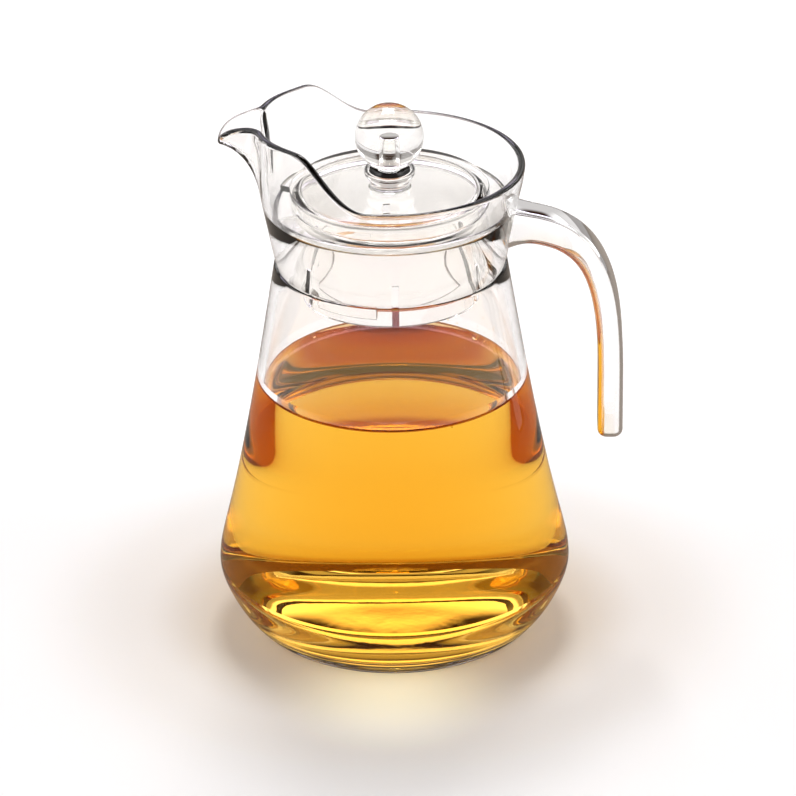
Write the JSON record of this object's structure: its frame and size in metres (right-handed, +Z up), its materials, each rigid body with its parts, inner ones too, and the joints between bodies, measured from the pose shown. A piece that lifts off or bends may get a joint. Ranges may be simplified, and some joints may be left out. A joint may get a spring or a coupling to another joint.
{
  "type": "beer pitcher",
  "caption": "Bell-shaped glass jug with a duck-bill spout, an open hanging handle and a clear slotted lid with a ball knob, part filled with beer.",
  "frame": {"origin": "centre of the foot, on the surface that the jug stands on", "axes": "+Z up along the jug's axis, +X towards the handle, so that the spout points to -X, and +Y completes the right-handed frame"},
  "size_m": [0.1553, 0.135, 0.2128],
  "materials": {
    "clear_glass": "gloss",
    "clear_plastic": "gloss",
    "amber_drink": "gloss"
  },
  "bodies": {
    "root": {"jug": "clear_glass", "lid": "clear_plastic", "knob": "clear_plastic", "drink": "amber_drink"}
  },
  "joints": []
}
